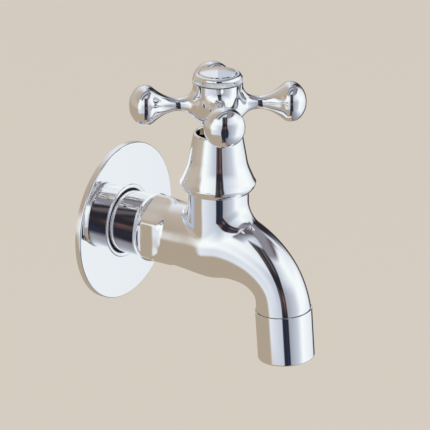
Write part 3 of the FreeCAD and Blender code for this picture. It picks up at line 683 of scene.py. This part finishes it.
# The start of the thread is chamfered: points outside a cone at the end move in to it.
for vert in bm.verts:
    r = math.hypot(vert.co.x, vert.co.y)
    limit = THREAD_R - 1.2 + (vert.co.z + THREAD_LENGTH)
    if r > limit:
        vert.co.x *= limit / r
        vert.co.y *= limit / r
thread = finish_mesh("inlet_thread", bm, along_inlet, sharp=35)
dress(thread, "valve", chrome, "chrome_plate", "body_casting")

# %% [markdown]
# The wall flange is pressed from thin sheet: a short straight rim that stands on the wall, a
# flat mirror face, and a small raised lip round the hole. A black ring sits back in the hole
# and grips the shank, so only a fine dark line shows.

# %% Wall flange and its grip ring
FLANGE_R = 30.5
FACE = 2.4
SHEET = 0.9
EDGE = 0.6
GRIP_IN = SHANK_R + 0.05
GRIP_OUT = GRIP_IN + 0.5
HOLE = GRIP_OUT + 0.05
LIP = HOLE + SHEET
corner = EDGE * (1 - math.cos(math.pi / 4))
row = profile((FLANGE_R - SHEET, 0), (FLANGE_R, 0), (FLANGE_R, FACE - EDGE),
              ("arc", (FLANGE_R - corner, FACE - corner), (FLANGE_R - EDGE, FACE)),
              (LIP + 0.8, FACE), ("arc", (LIP - 0.1, FACE + 0.45), (HOLE + 0.15, FACE + 0.05)),
              (HOLE, FACE - 0.25), (HOLE, FACE - SHEET - 1.0), (LIP, FACE - SHEET - 1.0),
              (LIP, FACE - SHEET), (FLANGE_R - SHEET - 0.3, FACE - SHEET),
              (FLANGE_R - SHEET, FACE - SHEET - 0.3))
flange = finish_mesh("wall_flange_skin", lathe(row, steps=240), along_inlet)
dress(flange, "flange", chrome, "chrome_plate", "wall_flange")
row = profile((GRIP_IN, 0.5), (GRIP_OUT, 0.5), (GRIP_OUT, 2.0),
              ("arc", ((GRIP_IN + GRIP_OUT) / 2, 2.25), (GRIP_IN, 2.0)))
grip = finish_mesh("grip_ring_skin", lathe(row, steps=192), along_inlet)
dress(grip, "flange", finishes["black_rubber"], "black_rubber", "flange_grip_ring")

# %% [markdown]
# The bell is a turned cone whose flank is drawn in and flares to a rolled foot. It is open at
# the top: between its mouth and the handle's neck there is a dark ring.

# %% Bell
BELL_FOOT = 21.7
BELL_H = 22.2
BELL_WALL = 1.25
WAIST_R = 17 / math.sqrt(3) + 0.25 + BELL_WALL
MOUTH_R = 9.1
FOOT_R = 14.1
skirt = FOOT_R - WAIST_R
taper = WAIST_R - MOUTH_R
z = BELL_FOOT
h = BELL_H
shade = MOUTH_R - BELL_WALL
# From the foot up the outside, over the mouth and down inside, where it is hidden.
row = profile((11.85, z + 0.3), (11.95, z + 0.05),
              [(FOOT_R - 1.75, z + 0.08), (FOOT_R - 1.15, z + 0.62), (FOOT_R - 0.62, z + 1.30),
               (FOOT_R - 0.22, z + 2.10), (FOOT_R - 0.04, z + 2.72)],
              ("arc", (FOOT_R, z + 3.0), (FOOT_R - 0.12, z + 3.28)),
              [(WAIST_R + skirt * 0.82, z + h * 0.178), (WAIST_R + skirt * 0.56, z + h * 0.250),
               (WAIST_R, z + h * 0.430), (MOUTH_R + taper * 0.653, z + h * 0.600),
               (MOUTH_R + taper * 0.293, z + h * 0.800), (MOUTH_R, z + h - 0.7)],
              ("arc", (MOUTH_R - 0.2, z + h - 0.2), (MOUTH_R - 0.7, z + h)),
              (shade + 0.3, z + h), (shade, z + h - 0.3), (shade, 34.6), (8.3, 34.6), (8.3, 29.7),
              (10.06, 29.3), (11.85, 25.7))
bell = finish_mesh("bell_skin", lathe(row, steps=192), on_axis)
dress(bell, "valve", chrome, "chrome_plate", "bonnet_bell")

# %% [markdown]
# The outlet is a plain straight sleeve with softened ends, a hair wider than the spout. Its top
# face falls inwards, so the seam is a thin dark line. Inside it holds the flow straightener:
# white ribs, and above them a steel screen, woven here from short straight wires.

# %% Outlet sleeve and its screen
SLEEVE_R = 10.6
SLEEVE_L = 19.2
row = profile((8.4, -0.35), (10.2, -0.35), (SLEEVE_R - 0.12, -0.06), (SLEEVE_R, -0.18),
              (SLEEVE_R, -SLEEVE_L + 0.7),
              ("arc", (SLEEVE_R - 0.2, -SLEEVE_L + 0.2), (SLEEVE_R - 0.7, -SLEEVE_L)),
              (9.35, -SLEEVE_L), (9.15, -SLEEVE_L + 0.2), (9.15, -9.4), (6.6, -9.4), (6.6, -8.2),
              (8.4, -8.2))
sleeve = finish_mesh("outlet_sleeve_skin", lathe(row, steps=192), under_spout)
dress(sleeve, "valve", chrome, "chrome_plate", "outlet_sleeve")

bm = bmesh.new()
SCREEN_R = 8.9
SCREEN_Z = -10.55
WIRE_PITCH = 0.9
WIRE_R = 0.12
lying = Matrix.Rotation(math.radians(90), 4, "Y")
for i in range(-9, 10):
    away = i * WIRE_PITCH
    half = math.sqrt(SCREEN_R ** 2 - away ** 2)
    for turn, lift in ((0, WIRE_R / 2), (90, -WIRE_R / 2)):
        place = (Matrix.Rotation(math.radians(turn), 4, "Z")
                 @ Matrix.Translation((0, away, SCREEN_Z + lift)) @ lying)
        bmesh.ops.create_cone(bm, cap_ends=True, segments=8, radius1=WIRE_R, radius2=WIRE_R,
                              depth=2 * half, matrix=place)
screen = finish_mesh("woven_screen", bm, under_spout, sharp=50)
dress(screen, "valve", finishes["stainless_steel"], "stainless_steel", "aerator_screen")

# %% [markdown]
# The cross is one casting: a thin neck, a cone, a round barrel and four arms that flow out of
# it with soft roots, draw in to a waist and end in full balls. It is made like the tap's body,
# from distances: the hub is a radius along Z, each arm a radius along its own line, and one
# rounded join melts them together. The arm's squared radius is used, because it runs smoothly
# through zero at the tip of the ball.

# %% Hub and arm profiles
HUB_R = 9.1
HUB_NECK = 4.9
HUB_START = 41.5
CONE_START = 46.1
CONE_TOP = 50.3
ARM_Z = 55.0
HUB_TOP = 63.3
ARM_REACH = 32.3
KNOB = 7.4
ROOT = 5.1
WAIST = 2.4
drop = CONE_TOP - CONE_START
wide = HUB_R - HUB_NECK
hub_knots = [(HUB_NECK, HUB_START - 3), (HUB_NECK, CONE_START - 2), (HUB_NECK, CONE_START),
             (HUB_NECK + 0.08 * wide, CONE_START + 0.19 * drop),
             (HUB_R - 0.5 * wide, CONE_TOP - 0.38 * drop),
             (HUB_R - 0.13 * wide, CONE_TOP + 0.05 * drop),
             (HUB_R - 0.012 * wide, CONE_TOP + 0.57 * drop),
             (HUB_R, CONE_TOP + 1.2 * drop), (HUB_R, HUB_TOP - 2), (HUB_R, HUB_TOP + 3)]
hub_radius = natural_spline([z for r, z in hub_knots], [[r] for r, z in hub_knots])

crown = ARM_REACH - 0.83 * KNOB
waist_at = HUB_R + 0.255 * (ARM_REACH - HUB_R)
grow = KNOB - WAIST
flare = ROOT - WAIST
way = crown - waist_at
tip = ARM_REACH - crown
arm_row = [(ROOT, 0.0), (ROOT, HUB_R * 0.6)]
arm_row += [tuple(p) for p in curve_points(
    [(ROOT, HUB_R * 0.6), (ROOT - 0.10 * flare, HUB_R - 1.6), (ROOT - 0.34 * flare, HUB_R),
     (WAIST + 0.33 * flare, HUB_R + 1.8), (WAIST + 0.10 * flare, HUB_R + 3.6), (WAIST, waist_at),
     (WAIST + grow * 0.22, waist_at + way * 0.38), (WAIST + grow * 0.66, waist_at + way * 0.70),
     (KNOB - 0.12, crown - 0.9), (KNOB, crown), (KNOB * 0.93, crown + tip * 0.42),
     (KNOB * 0.62, crown + tip * 0.80), (KNOB * 0.25, ARM_REACH - 0.13), (0, ARM_REACH)],
    per_mm=2.0)]
reach_along = np.array([a for r, a in arm_row])
forward = np.concatenate(([True], np.diff(np.maximum.accumulate(reach_along)) > 0.02))
squares = np.array([[r * r] for r, a in arm_row])
arm_square = natural_spline(reach_along[forward], squares[forward])

# %% [markdown]
# The four arms stand square to one another. Each is measured on its own, and the join takes all
# five distances at once, so neighbouring roots melt together between the arms as well.

# %% Skin of the cross
CROSS_TURN = -52.5
ARM_TURNS = [math.radians(-90 + CROSS_TURN + 90 * i) for i in range(4)]
ROOT_FILLET = 2.2


def hub_part(p):
    """The hub, a radius along its axis."""
    off = p + np.array([0, CHAMBER_REACH, 0])
    outward = np.hypot(off[:, 0], off[:, 1])
    height = np.clip(off[:, 2], HUB_START - 3, HUB_TOP + 3)
    radius = hub_radius(height)[:, 0]
    taper = (hub_radius(height + STEP)[:, 0] - radius) / STEP
    slope = np.column_stack((off[:, :2] / np.maximum(outward, 1e-6)[:, None], -taper))
    return (outward - radius) / np.linalg.norm(slope, axis=1), unit(slope)


def arm_part(p, turn):
    """One arm, a squared radius along its own line."""
    ahead = np.array([math.cos(turn), math.sin(turn), 0])
    off = p - np.array([0, -CHAMBER_REACH, ARM_Z])
    along = off @ ahead
    aside = off - along[:, None] * ahead
    place = np.clip(along, 0.0, ARM_REACH)
    square = arm_square(place)[:, 0]
    change = (arm_square(np.maximum(place - STEP, 0))[:, 0] - square) / -STEP
    square = square + change * (along - place)
    slope = 2 * aside - change[:, None] * ahead
    # Seen from behind the hub's middle an arm is simply far away.
    distance = ((aside ** 2).sum(1) - square) / np.maximum(np.linalg.norm(slope, axis=1), 1e-3)
    return np.where(along > 0, distance, 30.0), unit(slope)


def cross_skin(p):
    """Hub and arms, with soft roots between them."""
    return rounded_join([hub_part(p)] + [arm_part(p, turn) for turn in ARM_TURNS], ROOT_FILLET)


# %% [markdown]
# The rough body of the cross is turned on the lathe too: the hub once, and the arm four times,
# laid over and turned to its place. They overlap, and the net runs round them all.

# %% The cross
heights = np.linspace(HUB_START - 1, HUB_TOP + 1, 60)
hub_row = [(float(hub_radius(z)[0, 0]), z) for z in heights]
bm = lathe([(0, HUB_START - 1)] + hub_row + [(0, HUB_TOP + 1)], steps=64, close=False)
bmesh.ops.transform(bm, matrix=on_axis, verts=bm.verts)
for turn in ARM_TURNS:
    arm = lathe([(0, 0.0)] + arm_row, steps=48, close=False)
    bmesh.ops.transform(arm, matrix=on_axis @ Matrix.Translation((0, 0, ARM_Z))
                        @ Matrix.Rotation(turn, 4, "Z") @ lying, verts=arm.verts)
    held = bpy.data.meshes.new("held")
    arm.to_mesh(held)
    arm.free()
    bm.from_mesh(held)
    bpy.data.meshes.remove(held)
bm = skinned(bm, 0.42, cross_skin)
trim(bm, Vector((0, 0, HUB_START)), Vector((0, 0, -1)))
trim(bm, Vector((0, 0, HUB_TOP)), Vector((0, 0, 1)))
cross = finish_mesh("cross_skin", bm, Matrix.Identity(4), sharp=50)
exact_normals(cross, cross_skin)
dress(cross, "handle", chrome, "chrome_plate", "cross_handle")

# %% [markdown]
# On top sits a ring with a band of fine straight knurling, and in it a low domed cap, left
# plain. The knurl is real: the ring is spun in eight steps per tooth, and the band's points
# then move in and out as they go round.

# %% Cap ring and cap
RING_R = 8.9
RING_Z = HUB_TOP + 0.05
RING_TOP = RING_Z + 3.2
CAP_R = 6.9
TEETH = 84
TOOTH = 0.26
band = RING_Z + 1.9
nest = CAP_R + 0.05
rise = RING_TOP - band - 0.3
row = profile((0, RING_Z - 2.2), (CAP_R, RING_Z - 2.2), (CAP_R, RING_Z), (RING_R - 0.30, RING_Z),
              (RING_R - 0.02, RING_Z + 0.22), (RING_R, RING_Z + 0.30), (RING_R, RING_Z + 0.45),
              (RING_R, band - 0.15), (RING_R, band), (RING_R - 0.3, band + 0.3),
              ("arc", (nest + 0.3 + (RING_R - nest - 0.6) * 0.72, band + 0.3 + rise * 0.68),
               (nest + 0.3, RING_TOP)),
              (nest, RING_TOP - 0.2), (nest, RING_TOP - 1.4), (0, RING_TOP - 1.4))
bm = lathe(row, steps=TEETH * 8, close=False)
for vert in bm.verts:
    around = math.hypot(vert.co.x, vert.co.y)
    if around > RING_R - 0.01 and RING_Z + 0.25 < vert.co.z < band - 0.1:
        turn = math.atan2(vert.co.y, vert.co.x)
        pull = 1 - TOOTH * (0.5 - 0.5 * math.cos(TEETH * turn)) / around
        vert.co.x *= pull
        vert.co.y *= pull
cap_ring = finish_mesh("cap_ring_skin", bm, on_axis, sharp=40)
dress(cap_ring, "handle", chrome, "chrome_plate", "index_ring")
edge = RING_TOP + 0.35
dome = 0.8
row = profile((0, RING_TOP - 1.35), (CAP_R, RING_TOP - 1.35), (CAP_R, edge - 0.3),
              (CAP_R - 0.3, edge), [(CAP_R * 0.55, edge + dome * 0.68), (0, edge + dome)])
cap = finish_mesh("cap_skin", lathe(row, steps=160, close=False), on_axis)
dress(cap, "handle", chrome, "chrome_plate", "index_cap")

# %% [markdown]
# The studio. Polished chrome is a picture of the room, so the room is painted with care, for
# reflections only. Low down, going round by compass: a tan ground on the left, a tall soft
# window of light beside the camera, a dark slit where the camera stands, a grey gap, a white
# window to the right, and a dark edge behind it. Higher up the left turns pale, and a grey beam
# crosses overhead from the front left to the back right. Three colour ramps hold the compass
# bands, low, at eye level and high, and the height of the ray blends them.

# %% World directions
VIEW_TURN = math.radians(-57.3)
BACKDROP = "dbd2c7"
world = bpy.data.worlds.new("studio")
bpy.context.scene.world = world
world.use_nodes = True
tree = world.node_tree
tree.nodes.clear()
ways = add(tree, "ShaderNodeTexCoord")
turned = add(tree, "ShaderNodeMapping", {"Rotation": (0, 0, -VIEW_TURN)},
             {"Vector": ways.outputs["Generated"]})
xyz = add(tree, "ShaderNodeSeparateXYZ", links={"Vector": turned.outputs["Vector"]})
# After the turn the camera stands towards -Y and its right is +X.
to_right, height = xyz.outputs["X"], xyz.outputs["Z"]
towards = add(tree, "ShaderNodeMath", {1: -1.0}, {0: xyz.outputs["Y"]},
              operation="MULTIPLY").outputs["Value"]
compass = add(tree, "ShaderNodeMath", links={0: to_right, 1: towards},
              operation="ARCTAN2").outputs["Value"]


def bands(value, start, end, *stops):
    """Paints side by side along a value, each running softly into the next. Their places are
    given in the value's own units, between its start and its end."""
    share = add(tree, "ShaderNodeMapRange", {"From Min": start, "From Max": end}, {"Value": value})
    places = [((stop - start) / (end - start), paint) for stop, paint in stops]
    return add(tree, "ShaderNodeValToRGB", links={"Fac": share.outputs["Result"]},
               stops=places).outputs["Color"]


def round_the_room(*stops):
    """Bands by compass, in degrees from the camera, positive to its right."""
    turns = [(math.radians(degrees), paint) for degrees, paint in stops]
    return bands(compass, -math.pi, math.pi, *turns)


def paint_over(under, paint, *edges):
    """Lays a paint over what is there, inside soft edges. An edge is a value with the place where
    the paint begins and the place where it is full, or a share that is ready made."""
    cover = None
    for edge in edges:
        if isinstance(edge, tuple):
            value, begins, full = edge
            edge = add(tree, "ShaderNodeMapRange", {"From Min": begins, "From Max": full},
                       {"Value": value}, interpolation_type="SMOOTHSTEP").outputs["Result"]
        if cover is not None:
            edge = add(tree, "ShaderNodeMath", links={0: cover, 1: edge},
                       operation="MULTIPLY").outputs["Value"]
        cover = edge
    # A Mix node has its colour sockets at places 6 and 7 and its colour result at place 2.
    mix = add(tree, "ShaderNodeMix", links={0: cover}, data_type="RGBA")
    for place, colour in ((6, under), (7, paint)):
        if isinstance(colour, str):
            mix.inputs[place].default_value = linear(colour)
        else:
            tree.links.new(colour, mix.inputs[place])
    return mix.outputs[2]


# %% [markdown]
# The room is painted with eleven plain paints, as a set builder would: each wall, window and
# board is one paint or a soft run from one to the next, and every edge is given one by one.

# %% World colours
TAN, PALE_TAN = "b0a290", "bfb5a9"
WHITE, BRIGHT, PALE, GREY, MID = "faffff", "e4e9f0", "c6cedb", "a4a8b0", "8c8a94"
BOARD, DARK, NAVY, BROWN = "625c5e", "2c2a30", "2c3450", "80605e"

low_down = round_the_room((-66, TAN), (-58, BRIGHT), (-14, PALE), (22, GREY), (52, PALE),
                          (72, WHITE), (136, BRIGHT), (148, DARK), (158, DARK), (174, TAN))
eye_level = round_the_room((-72, PALE_TAN), (-58, WHITE), (-48, WHITE), (-18, PALE), (24, GREY),
                           (54, PALE), (78, WHITE), (110, WHITE), (138, BRIGHT), (152, DARK),
                           (167, DARK), (178, PALE_TAN))
high_up = round_the_room((-170, BRIGHT), (-125, PALE_TAN), (-64, TAN), (-57, WHITE),
                         (-38, WHITE), (24, PALE), (70, WHITE), (130, BRIGHT), (141, DARK),
                         (158, DARK), (168, PALE))
room = paint_over(eye_level, high_up, (height, 0.14, 0.42))
room = paint_over(low_down, room, (height, -0.24, -0.02))
# Below the left windows lies the tan ground, which also reaches straight down.
room = paint_over(room, TAN, (height, -0.42, -0.56), (compass, -0.02, -0.14))
room = paint_over(room, TAN, (height, -0.86, -1.0))
# The dark slit where the camera stands runs straight up and down, so it is measured sideways
# and not by the compass. Going up it is grey, dark, navy, dark, brown, dark and grey again, and
# dimmer stripes run along it.
going_up = bands(height, -1.0, 1.0, (-0.86, BOARD), (-0.72, DARK), (-0.40, NAVY), (-0.20, DARK),
                 (0.06, BROWN), (0.18, DARK), (0.36, DARK), (0.50, BOARD), (0.80, BOARD))
stripes = bands(to_right, -0.5, 0.5, (-0.10, GREY), (-0.03, PALE), (0.03, BOARD), (0.07, DARK),
                (0.13, WHITE), (0.17, WHITE), (0.205, DARK), (0.25, BOARD), (0.30, GREY))
slit = paint_over(DARK, going_up, stripes)
room = paint_over(room, slit, (to_right, -0.145, -0.085), (to_right, 0.335, 0.245),
                  (towards, -0.06, 0.06), (height, 0.88, 0.80), (height, -0.99, -0.93))
# The beam overhead is a band round a level line across the view, with a light strip in it.
line = add(tree, "ShaderNodeVectorMath", {1: (0.66, -0.75, -0.05)}, {0: turned.outputs["Vector"]},
           operation="DOT_PRODUCT").outputs["Value"]
beam = bands(line, -0.5, 0.5, (-0.27, PALE), (-0.16, BOARD), (0.0, PALE), (0.10, BOARD),
             (0.18, BOARD), (0.28, PALE))
room = paint_over(room, beam, (line, -0.30, -0.24), (line, 0.32, 0.26), (height, 0.58, 0.74))
# To the right the ceiling and the ground are grey. The wall flange shows them to the shank.
ceiling = bands(to_right, 0.0, 1.0, (0.2, BOARD), (0.3, MID), (0.5, MID), (0.62, BOARD),
                (0.75, PALE))
ground = bands(to_right, 0.0, 1.0, (0.12, BOARD), (0.2, MID), (0.46, GREY), (0.66, PALE))
room = paint_over(room, ceiling, (height, 0.68, 0.78), (to_right, 0.2, 0.28))
room = paint_over(room, ground, (height, -0.54, -0.80), (to_right, 0.08, 0.16))
mirror_light = add(tree, "ShaderNodeBackground", {"Strength": 1.0}, {"Color": room})
even_light = add(tree, "ShaderNodeBackground", {"Color": linear("eceae6"), "Strength": 0.8})
seen = add(tree, "ShaderNodeBackground", {"Color": linear(BACKDROP), "Strength": 1.0})
path = add(tree, "ShaderNodeLightPath")
for_mirrors = add(tree, "ShaderNodeMixShader", links={0: path.outputs["Is Glossy Ray"],
                                                      1: even_light.outputs["Background"],
                                                      2: mirror_light.outputs["Background"]})
for_camera = add(tree, "ShaderNodeMixShader", links={0: path.outputs["Is Camera Ray"],
                                                     1: for_mirrors.outputs["Shader"],
                                                     2: seen.outputs["Background"]})
add(tree, "ShaderNodeOutputWorld", links={"Surface": for_camera.outputs["Shader"]})

# %% [markdown]
# The floor is a wide pale plane well below the tap, which hangs on its wall thread. Towards the
# camera it gives the even pale colour of the background and only takes the tap's soft shadow.

# %% Floor
FLOOR_HALF = 60.0
FLOOR_Z = -0.42
OWN_GLOW = 0.75
bm = bmesh.new()
bmesh.ops.create_grid(bm, x_segments=1, y_segments=1, size=FLOOR_HALF)
bmesh.ops.translate(bm, verts=bm.verts, vec=(0, 0, FLOOR_Z))
mesh = bpy.data.meshes.new("floor")
bm.to_mesh(mesh)
bm.free()
floor = bpy.data.objects.new("floor", mesh)
bpy.context.scene.collection.objects.link(floor)
pale_floor = bpy.data.materials.new("pale floor")
pale_floor.use_nodes = True
tree = pale_floor.node_tree
tree.nodes.clear()
matt = add(tree, "ShaderNodeBsdfDiffuse", {"Color": linear(BACKDROP)})
glow = add(tree, "ShaderNodeEmission", {"Color": linear(BACKDROP), "Strength": 1.0})
path = add(tree, "ShaderNodeLightPath")
mixed = add(tree, "ShaderNodeMixShader", {0: OWN_GLOW},
            {1: matt.outputs["BSDF"], 2: glow.outputs["Emission"]})
for_camera = add(tree, "ShaderNodeMixShader", links={0: path.outputs["Is Camera Ray"],
                                                     1: matt.outputs["BSDF"],
                                                     2: mixed.outputs["Shader"]})
add(tree, "ShaderNodeOutputMaterial", links={"Surface": for_camera.outputs["Shader"]})
floor.data.materials.append(pale_floor)
floor.visible_glossy = False

# %% [markdown]
# One broad soft lamp from above the camera's left gives the rubber and plastic their form and
# the floor its shadow. It is kept out of the mirror, which has its own windows of light.

# %% Lamp and camera
lamp_data = bpy.data.lights.new("soft window", "AREA")
lamp_data.shape = "RECTANGLE"
lamp_data.size = 1.2
lamp_data.size_y = 1.2
lamp_data.energy = 14.0
lamp = bpy.data.objects.new("soft window", lamp_data)
lamp.location = (-0.9, -0.9, 1.3)
lamp.rotation_euler = (Vector((0, -0.05, 0)) - lamp.location).to_track_quat("-Z", "Y").to_euler()
lamp.visible_glossy = False
bpy.context.scene.collection.objects.link(lamp)

VIEW_RISE = math.radians(22.0)
CAMERA_AWAY = 0.8
aim = Vector((0, -42.2, 10.9)) * MM
away = Vector((math.sin(VIEW_TURN) * math.cos(VIEW_RISE),
               -math.cos(VIEW_TURN) * math.cos(VIEW_RISE), math.sin(VIEW_RISE)))
camera_data = bpy.data.cameras.new("camera")
camera_data.lens = 180.36
camera_data.sensor_width = 36.0
camera = bpy.data.objects.new("camera", camera_data)
camera.location = aim + CAMERA_AWAY * away
camera.rotation_euler = (-away).to_track_quat("-Z", "Y").to_euler()
bpy.context.scene.collection.objects.link(camera)
bpy.context.scene.camera = camera
bpy.context.scene.view_settings.view_transform = "Standard"
